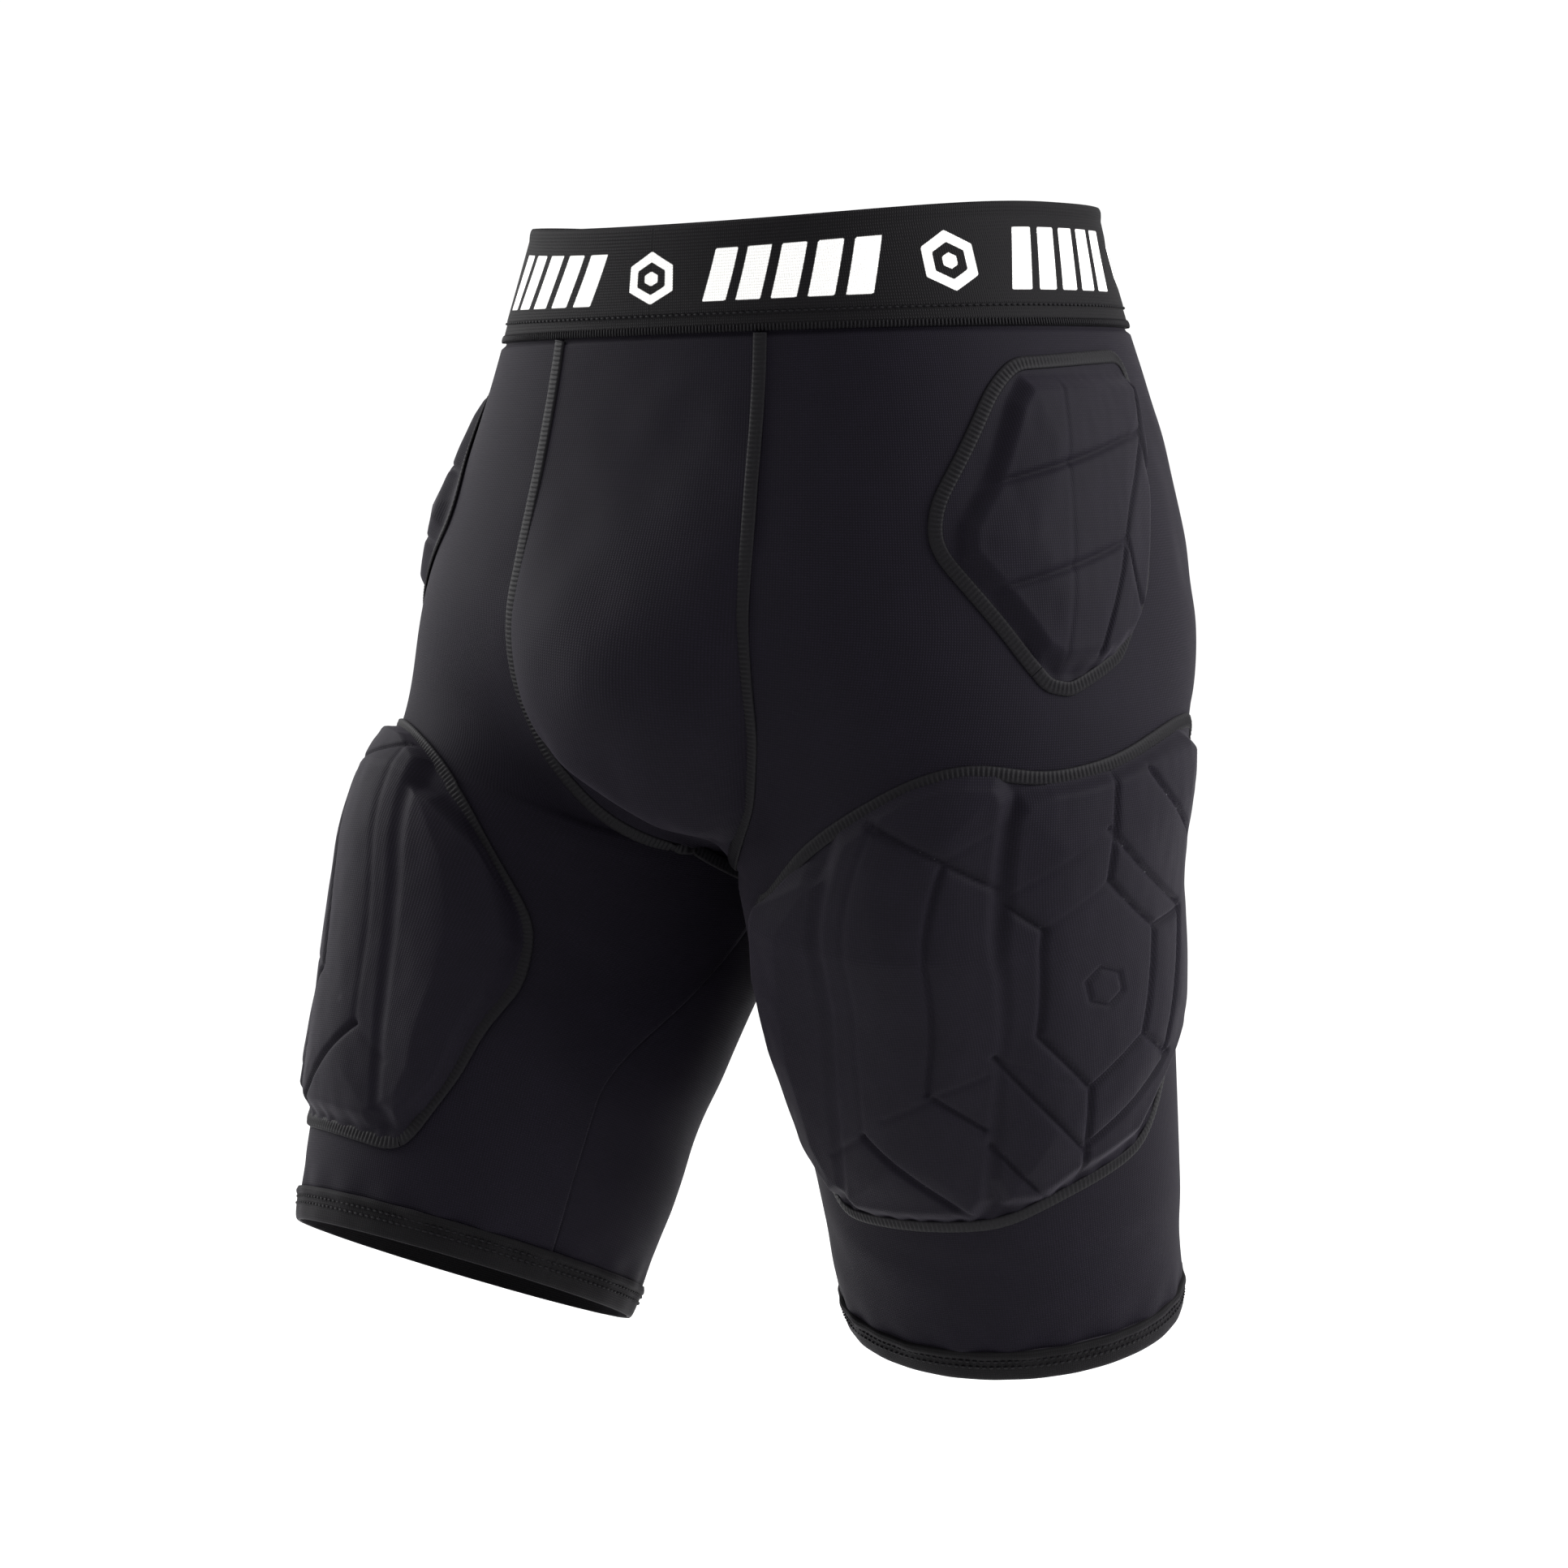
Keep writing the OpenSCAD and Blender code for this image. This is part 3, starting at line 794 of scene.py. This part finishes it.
def needle_row(name, path, height, pitch, length=0.0023, width=0.00055, upright=False):
    """A row of short stitches: one rounded stitch, copied along the path, or upright across it."""
    side, s, z = path[:, 0], path[:, 1], path[:, 2]
    spots = skin(side, s, z, np.full_like(s, height))
    run = run_along(spots)
    count = max(1, int(run[-1] / pitch))
    at = (np.arange(count) + 0.5) * run[-1] / count
    places = np.stack([np.interp(at, run, spots[:, i]) for i in range(3)], 1)
    ends = np.stack([np.interp(at + 0.0005, run, spots[:, i]) for i in range(3)], 1)
    side = np.sign(np.interp(at, run, side) + 1e-6)
    up = outward(side, np.interp(at, run, s), np.interp(at, run, z))
    way = unit(ends - places)
    cross = np.cross(up, way)
    if upright:
        way, cross = cross, way
    clear_selection()
    bpy.ops.mesh.primitive_uv_sphere_add(segments=6, ring_count=5, radius=1)
    stitch = bpy.context.object
    shape = np.array([v.co for v in stitch.data.vertices])
    faces = [list(f.vertices) for f in stitch.data.polygons]
    bpy.data.objects.remove(stitch)
    parts = (places[:, None]
             + cross[:, None] * shape[None, :, :1] * width
             + up[:, None] * shape[None, :, 1:2] * width
             + way[:, None] * shape[None, :, 2:] * length / 2)
    size = len(shape)
    made = make_object(
        name, parts, [[i + n * size for i in face] for n in range(count) for face in faces])
    face_outwards(made)
    return made


def round_waist(w):
    """Side and s of places right round: w runs from 0 to 2, left side first."""
    return np.where(w < 1, LEFT, RIGHT), np.where(w < 1, w, 2 - w)


def ring_path(z, points=720):
    """A path right round the waist at one height."""
    side, s = round_waist(np.linspace(0, 2, points))
    return np.stack([side, s, np.full(points, float(z))], 1)


def leg_path(side, z, points=400):
    """A path right round a leg at one height."""
    s = np.linspace(0, 1, points)
    return np.stack([np.full(points, side), s, np.full(points, float(z))], 1)


def declare_cloth(piece):
    """Reads the flat pattern of a closed sheet from its UV map, and does nothing further with it."""
    flat = np.zeros(2 * len(piece.data.loops), np.float32)
    piece.data.uv_layers["UVMap"].data.foreach_get("uv", flat)


def cloth_rows(low, count):
    """Heights of a cloth's rows from low up to inside the waistband, closer where it turns in."""
    turn = [-51.2, -50.4, -49.8, -49.3, -48.9, -48.5, -47.0, -45.0]
    return np.concatenate([np.linspace(low, -52, count), turn])[:, None]


def tuck(z):
    """How far a cloth goes in where it runs up inside the waistband."""
    return 1.6 * ramp(-51.5, -48.6, z)


# ---- pieces ----
# The waistband's needle row, and its pattern in millimetres
NEEDLE_LINE = -39.5
MOTIF_MIDDLE, YARN = -19.5, 0.9
RING_RADIUS, RING_LINE, CORE_RADIUS = 9.6, 4.4, 3.2
BAR_PITCH, BAR_WIDTH, BAR_HEIGHT, BAR_SLANT = 16.6, 11.6, 27, 0.3
# Lower edge of the pouch's swell at each side, and the cloths' lowest row
SWELL_LOW, CLOTH_LOW = {LEFT: -258, RIGHT: -226}, -299


class SHORTS_OT_waistband(bpy.types.Operator):
    """Woven elastic waistband with its white pattern"""

    bl_idname = "shorts.waistband"
    bl_label = "Waistband"

    def execute(self, context):
        w = np.linspace(0, 2, 840, endpoint=False)
        side, s = round_waist(w)
        z = np.linspace(-BAND_HEIGHT, BAND_RISE, 60)[:, None]
        run = run_along(standing(side, s, z[0]))
        across = np.where(w < 1, run, run - run[-1])
        side, s, z, across = np.broadcast_arrays(side, s, z, across)
        # Rounded rims, a waver that grows towards the top edge, and a step down below the needle row
        rim = 1 - np.exp(-np.minimum(z + BAND_HEIGHT, BAND_RISE - z) / 1.2)
        waver = 0.35 * np.sin(across / 9.0) * np.exp((z - BAND_RISE) / 5)
        waver = waver + 0.25 * wobble(across, z, 40, 3)
        step = 0.5 * ramp(NEEDLE_LINE + 1, NEEDLE_LINE, z)
        top = 1.1 + 1.1 * rim - step + 0.3 * waver
        band = cloth_sheet("waistband_elastic", side, s, z, top, 0.1 * waver, wrap=True, x=across)
        shown = motif(across, z, 2 * across.max())
        values = band.data.attributes.new("motif", "FLOAT", "POINT")
        values.data.foreach_set(
            "value", np.concatenate([shown.ravel(), 0 * shown.ravel()]).astype(np.float32))
        dress(band, "woven elastic", PELVIS, ["waistband"])
        declare_cloth(band)
        return {"FINISHED"}


def motif(x, z, round_mm):
    """Share of white yarn: hexagon rings with five slanted bars between each two, six times round."""
    up = z - MOTIF_MIDDLE
    period = round_mm / 6
    near = (x + period / 2) % period - period / 2
    reach = np.maximum(np.abs(near), np.abs(near) / 2 + np.abs(up) * math.sin(math.pi / 3))
    ring = np.abs(reach - RING_RADIUS) - RING_LINE / 2
    along = (x - BAR_SLANT * up) % period - period / 2
    slot = np.clip(np.round(along / BAR_PITCH), -2, 2) * BAR_PITCH
    bar = np.maximum(np.abs(along - slot) - BAR_WIDTH / 2, np.abs(up) - BAR_HEIGHT / 2)
    outside = np.minimum(np.minimum(ring, reach - CORE_RADIUS), bar)
    return clamp01(0.5 - outside / (2 * YARN))


class SHORTS_OT_pouch(bpy.types.Operator):
    """Pouch cloth at the centre front, swollen forwards"""

    bl_idname = "shorts.pouch"
    bl_label = "Pouch"

    def execute(self, context):
        swell = context.scene.shorts_sizes.pouch_swell / MM
        z, u = np.broadcast_arrays(cloth_rows(CLOTH_LOW, 168), np.linspace(-1, 1, 110))
        side = np.where(u < 0, RIGHT, LEFT)
        s = np.abs(u) * (lookup(z, POUCH_EDGE) - 0.001)
        across = u * lookup(z, POUCH_EDGE) * HIP_ROUND
        low = mix(SWELL_LOW[LEFT], SWELL_LOW[RIGHT], ramp(0.1, -1.0, u))
        cup = clamp01(1 - np.abs(u) ** 2.2) ** 0.8
        bulge = swell * ramp(-95, -215, z) * ramp(low - 10, low + 7, z)
        folds = 0.5 * wobble(across, z * 0.6, 34, 11) * ramp(-52, -80, z)
        gathers = 0.5 * np.sin(across / 2.6) * ramp(low + 22, low, z) * ramp(low - 8, low, z)
        top = CLOTH + (bulge + folds + gathers) * cup - tuck(z)
        pouch = cloth_sheet("pouch_cloth", side, s, z, top, top - CLOTH, x=across)
        relax(pouch, *z.shape, ramp(0.6, 0.2, np.abs(u)) * ramp(-190, -230, z), 60)
        dress(pouch, "knit jersey", PELVIS, ["pouch_panel"])
        declare_cloth(pouch)
        return {"FINISHED"}


class SHORTS_OT_seat(bpy.types.Operator):
    """Seat cloth and crotch gusset"""

    bl_idname = "shorts.seat"
    bl_label = "Seat and gusset"

    def execute(self, context):
        z, u = np.broadcast_arrays(cloth_rows(CLOTH_LOW, 148), np.linspace(-1, 1, 100))
        side = np.where(u < 0, LEFT, RIGHT)
        reach = 1 - lookup(z, SEAT_EDGE) - 0.001
        s = 1 - np.abs(u) * reach
        across = u * reach * HIP_ROUND
        top = CLOTH + 0.4 * wobble(across, z, 60, 21) * ramp(-175, -195, z) - tuck(z)
        seat = cloth_sheet("seat_cloth", side, s, z, top, top - CLOTH, x=across)
        dress(seat, "knit jersey", PELVIS, ["seat_panel"])
        declare_cloth(seat)
        u, v = even(60, 28)
        x, y = mix(-24.0, 24.0, v), mix(-74.0, 74.0, u)
        lift = -CROTCH_DEPTH - 4 + 22 * (y / 74) ** 2 - 2 * (x / 24) ** 2
        top = np.stack([x, y + 6, lift], -1) * MM
        low = np.stack([x, y + 6, lift - CLOTH], -1) * MM
        flat = np.stack([x, y], -1) * MM
        gusset = make_object("crotch_gusset_cloth", np.stack([top, low]),
                             grid_faces(60, 28, False).tolist(), np.stack([flat, flat]))
        face_outwards(gusset)
        dress(gusset, "knit jersey", PELVIS, ["crotch_gusset"])
        return {"FINISHED"}


class SHORTS_OT_leg_cloth(bpy.types.Operator):
    """Side and leg cloth of both sides, from the waistband to the hem"""

    bl_idname = "shorts.leg_cloth"
    bl_label = "Side and leg cloth"

    def execute(self, context):
        for side in (LEFT, RIGHT):
            z = cloth_rows(-OUTSEAM + HEM_HEIGHT - 1, 178)
            first, last = lookup(z, POUCH_EDGE), lookup(z, SEAT_EDGE)
            s = mix(first, last, np.linspace(0, 1, 236))
            z = z + 0 * s
            x = s * THIGH_ROUND
            # Folds only where no pocket lies over the cloth
            free = 1 - ramp(0.10, 0.16, s) * ramp(0.64, 0.6, s) * ramp(-445, -430, z + PAD_DROP[side])
            hips = ramp(-200, -185, z) * ramp(0.24, 0.28, s) * ramp(0.62, 0.58, s)
            free = free * (1 - hips) * ramp(-52, -90, z)
            folds = 0.7 * wobble(x, z * 1.6, 75, 31 + side) + 0.12 * wobble(x, z, 26, 41 + side)
            gathers = 0.5 * np.sin(x / 4.3) * ramp(-470, -484, z)
            top = CLOTH + free * (folds - 0.4) + gathers - tuck(z)
            name = "side_cloth_" + SIDE_NAME[side]
            cloth = cloth_sheet(name, side, s, z, top, top - CLOTH)
            panels = [SIDE_NAME[side] + end for end in ("_side_panel", "_flex_panel", "_leg_panel")]
            dress(cloth, "knit jersey", stands_for=panels)
            follow_leg(cloth, side, np.stack([s, s]), np.stack([z, z]))
            declare_cloth(cloth)
        return {"FINISHED"}


class SHORTS_OT_hems(bpy.types.Operator):
    """Folded hems with their needle rows"""

    bl_idname = "shorts.hems"
    bl_label = "Hems"

    def execute(self, context):
        sizes = context.scene.shorts_sizes
        for side in (LEFT, RIGHT):
            up = np.linspace(0, HEM_HEIGHT, 20)[:, None]
            up, s = np.broadcast_arrays(up, np.linspace(0, 1, 300, endpoint=False))
            x, z = s * THIGH_ROUND, up - OUTSEAM
            # A rolled lower edge, a sewn ridge near the top, and tucks that grow upwards
            roll = 1 - np.exp(-up / 1.2)
            ridge = 0.9 * groove(up - HEM_HEIGHT + 2, 1.5)
            tucks = 0.25 * np.sin(x / 3.4) + 0.3 * wobble(x, z, 25, 51)
            top = 1.3 + 0.9 * roll + ridge + tucks * (0.3 + 0.7 * up / HEM_HEIGHT)
            hem = cloth_sheet("hem_" + SIDE_NAME[side], side, s, z, top, 0.4 * tucks, wrap=True)
            dress(hem, "hem tricot", leg_body(side), [SIDE_NAME[side] + "_hem"])
            declare_cloth(hem)
            for number, level in enumerate((-489.5, -492.5)):
                row = needle_row(f"hem_stitches_{SIDE_NAME[side]}_{number}",
                                 leg_path(side, level), 2.5, sizes.stitch_pitch)
                dress(row, "sewing thread", leg_body(side))
        return {"FINISHED"}


def pocket_piece(name, at, rows, columns, relief):
    """Pocket cloth over a patch: its height comes from the pads under it."""
    u, v = even(rows, columns)
    side, s, z, x = at(u, v)
    cover = bpy.context.scene.shorts_sizes.cover / MM
    width, tall = np.abs(x[:, -1:] - x[:, :1]), z[-1:] - z[:1]
    to_edge = np.minimum(edge_of(u) * width, edge_of(v) * tall)
    # Thin at its edge, raised over the pads, and puckered beside its lower seam
    cover = mix(0.3, cover, ramp(0.0, 3.5, to_edge))
    height = CLOTH + 0.1 + cover + relief(x, z) * ramp(1.5, 8.5, to_edge)
    pucker = np.sin(x / 1.9 + 1.3 * wobble(x, z, 30, 61))
    height += 0.35 * pucker * ramp(2.0, 4.5, to_edge) * ramp(13.0, 6.0, to_edge) * ramp(0.3, 0.1, v)
    return cloth_sheet(name, side, s, z, height, height - cover, x=x)


def foam_piece(name, at, relief, body, stands_for):
    """A foam pad in its pocket."""
    u, v = even(56, 56)
    side, s, z, x = at(u, v)
    base = CLOTH + 0.2
    rim = ramp(0, 0.06, np.minimum(edge_of(u), edge_of(v)))
    height = base + 0.3 + np.maximum(relief(x, z) - 0.9, 0.2) * rim
    foam = cloth_sheet(name, side, s, z, height, base)
    dress(foam, "closed-cell foam", body, [stands_for])


def relief_of(shapes, channels, creases=(), drop=0, emblem=None):
    """The height of a pocket over its pads, as a function of the place on the flat pattern."""
    sizes = bpy.context.scene.shorts_sizes

    def relief(x, z):
        height = pad_height(x, z + drop, shapes, channels, creases, sizes, emblem)
        return height + 0.1 * wobble(x, z, 12, 62)

    return relief


def pocket_with_seam(name, place, body, stands_for, at, rows, columns, relief):
    """A pocket with the flat seam that holds it down."""
    cover = pocket_piece(name + "_pocket" + place, at, rows, columns, relief)
    dress(cover, "pocket tricot", body, [stands_for])
    declare_cloth(cover)
    seam = flat_seam(name + "_seam" + place, border(at), (1.6, 2.6), bpy.context.scene.shorts_sizes)
    dress(seam, "sewing thread", body)


class SHORTS_OT_thigh_pads(bpy.types.Operator):
    """Thigh pockets with their three foams each"""

    bl_idname = "shorts.thigh_pads"
    bl_label = "Thigh pads"

    def execute(self, context):
        for side in (LEFT, RIGHT):
            word, drop, body = SIDE_NAME[side], PAD_DROP[side], leg_body(side)
            relief = relief_of(THIGH_SHAPES, THIGH_CHANNELS, THIGH_CREASES, drop,
                               (EMBLEM_PLACE, EMBLEM_SIZE))
            at = patch(side, **THIGH_POCKET, drop=drop, corner=0.06)
            pocket_with_seam("thigh", "_" + word, body, word + "_thigh_cover", at, 186, 250, relief)
            for pad, edges in THIGH_FOAMS.items():
                foam_piece(f"{pad}_foam_{word}", patch(side, **edges, drop=drop), relief, body,
                           f"{word}_{pad}_foam")
        return {"FINISHED"}


class SHORTS_OT_hip_pads(bpy.types.Operator):
    """Hip pockets with their foams"""

    bl_idname = "shorts.hip_pads"
    bl_label = "Hip pads"

    def execute(self, context):
        relief = relief_of(HIP_SHAPES, HIP_CHANNELS, HIP_CREASES)
        for side in (LEFT, RIGHT):
            word = SIDE_NAME[side]
            at = patch(side, **HIP_POCKET, corner=0.14, around=HIP_ROUND)
            pocket_with_seam("hip", "_" + word, PELVIS, word + "_hip_cover", at, 120, 130, relief)
            at = patch(side, **HIP_FOAM, corner=0.1, around=HIP_ROUND)
            foam_piece("hip_foam_" + word, at, relief, PELVIS, word + "_hip_foam")
        return {"FINISHED"}


def tail_at(half, low, high, taper):
    """A patch across the centre back, as from patch."""

    def at(u, v):
        u, v = round_corners(u, v, 0.12)
        across = 2 * u - 1
        reach = half * mix(taper, 1.0, ramp(-0.1, 0.8, v))
        s = 1 - np.abs(across) * reach
        side = np.where(across < 0, LEFT, RIGHT)
        return side, s, mix(low, high, v), -side * (1 - s) * HIP_ROUND

    return at


class SHORTS_OT_tail_pad(bpy.types.Operator):
    """Tailbone pocket with its foam"""

    bl_idname = "shorts.tail_pad"
    bl_label = "Tailbone pad"

    def execute(self, context):
        relief = relief_of(TAIL_SHAPES, TAIL_CHANNELS)
        pocket_with_seam("tail", "", PELVIS, "tailbone_cover", tail_at(0.105, -168, -62, 0.35),
                         100, 110, relief)
        foam_piece("tail_foam", tail_at(0.088, -158, -72, 0.35), relief, PELVIS, "tailbone_foam")
        return {"FINISHED"}


class SHORTS_OT_panel_seams(bpy.types.Operator):
    """Flat seams between the pouch, the sides and the seat, and the waistband's needle rows"""

    bl_idname = "shorts.panel_seams"
    bl_label = "Panel seams"

    def execute(self, context):
        sizes = context.scene.shorts_sizes
        z = np.linspace(-49, -296, 200)
        for side in (LEFT, RIGHT):
            for word, edge in (("pouch", POUCH_EDGE), ("seat", SEAT_EDGE)):
                path = np.stack([np.full(200, float(side)), lookup(z, edge), z], 1)
                path = smooth_path(path, 30)
                seam = flat_seam(f"{word}_seam_{SIDE_NAME[side]}", path, (1.5, 1.5), sizes)
                dress(seam, "sewing thread", PELVIS)
        row = needle_row("waistband_stitches", ring_path(NEEDLE_LINE), 2.2, sizes.stitch_pitch)
        dress(row, "sewing thread", PELVIS)
        edge = needle_row("waistband_overlock", ring_path(-46.6), 1.8, sizes.seam_pitch * 0.8,
                          length=0.0036, width=0.0006, upright=True)
        dress(edge, "sewing thread", PELVIS)
        return {"FINISHED"}


# Camera: degrees round, down and tipped, metres away, and lens in millimetres
TURN_ROUND, TIP_DOWN, ROLL, AWAY, LENS = 36, 8, -2.8, 1.8, 90.7
LIGHTS = (  # name, place, width, watts
    ("right_key", (1.5, 0.55, 0.55), 1.1, 60.0),
    ("left_rim", (-1.6, -0.5, 0.35), 1.1, 42.0),
    ("top_fill", (0.7, -1.0, 1.7), 1.2, 10.0),
)


class SHORTS_OT_stage(bpy.types.Operator):
    """Pale floor, soft studio light and the camera"""

    bl_idname = "shorts.stage"
    bl_label = "Stage"

    def execute(self, context):
        scene = context.scene
        scene.view_settings.view_transform = "Standard"
        clear_selection()
        bpy.ops.mesh.primitive_plane_add(size=40, location=(0, 0, -1.1))
        floor = bpy.context.object
        floor.name = "studio_floor"
        floor.data.materials.append(material("painted floor"))
        world = bpy.data.worlds.new("studio")
        world.use_nodes = True
        scene.world = world
        back = world.node_tree.nodes["Background"]
        back.inputs["Color"].default_value = linear("ffffff")
        back.inputs["Strength"].default_value = 1.06
        for name, place, size, power in LIGHTS:
            data = bpy.data.lights.new(name, "AREA")
            data.size = size
            data.energy = power
            lamp = bpy.data.objects.new(name, data)
            scene.collection.objects.link(lamp)
            lamp.location = place
            aim = Vector((0, 0, -0.25)) - Vector(place)
            lamp.rotation_euler = aim.to_track_quat("-Z", "Y").to_euler()
        turn, tip, roll = (math.radians(angle) for angle in (TURN_ROUND, TIP_DOWN, ROLL))
        data = bpy.data.cameras.new("camera")
        data.lens = LENS
        data.sensor_width = 36
        camera = bpy.data.objects.new("camera", data)
        scene.collection.objects.link(camera)
        camera.location = (math.sin(turn) * AWAY, -math.cos(turn) * AWAY, 0)
        level = Euler((math.pi / 2 - tip, 0, turn)).to_matrix()
        camera.rotation_euler = (level @ Matrix.Rotation(-roll, 3, "Z")).to_euler()
        scene.camera = camera
        return {"FINISHED"}


STEPS = (
    SHORTS_OT_stage, SHORTS_OT_leg_cloth, SHORTS_OT_pouch, SHORTS_OT_seat, SHORTS_OT_waistband,
    SHORTS_OT_hems, SHORTS_OT_thigh_pads, SHORTS_OT_hip_pads, SHORTS_OT_tail_pad,
    SHORTS_OT_panel_seams,
)


class SHORTS_PT_sidebar(bpy.types.Panel):
    """Lists the pieces and their settings"""

    bl_idname = "SHORTS_PT_sidebar"
    bl_label = "Padded impact shorts"
    bl_space_type = "VIEW_3D"
    bl_region_type = "UI"
    bl_category = "Shorts"

    def draw(self, context):
        for group in (context.scene.shorts_sizes, context.scene.shorts_colours):
            for name in type(group).__annotations__:
                self.layout.prop(group, name)
        for step in STEPS:
            self.layout.operator(step.bl_idname)


CLASSES = (ShortsSizes, ShortsColours, *STEPS, SHORTS_PT_sidebar)


def register():
    for one in CLASSES:
        bpy.utils.register_class(one)
    bpy.types.Scene.shorts_sizes = bpy.props.PointerProperty(type=ShortsSizes)
    bpy.types.Scene.shorts_colours = bpy.props.PointerProperty(type=ShortsColours)


def unregister():
    del bpy.types.Scene.shorts_colours
    del bpy.types.Scene.shorts_sizes
    for one in reversed(CLASSES):
        bpy.utils.unregister_class(one)


def main():
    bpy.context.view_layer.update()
    register()
    for step in STEPS:
        group, name = step.bl_idname.split(".")
        getattr(getattr(bpy.ops, group), name)()


if __name__ == "__main__":
    main()
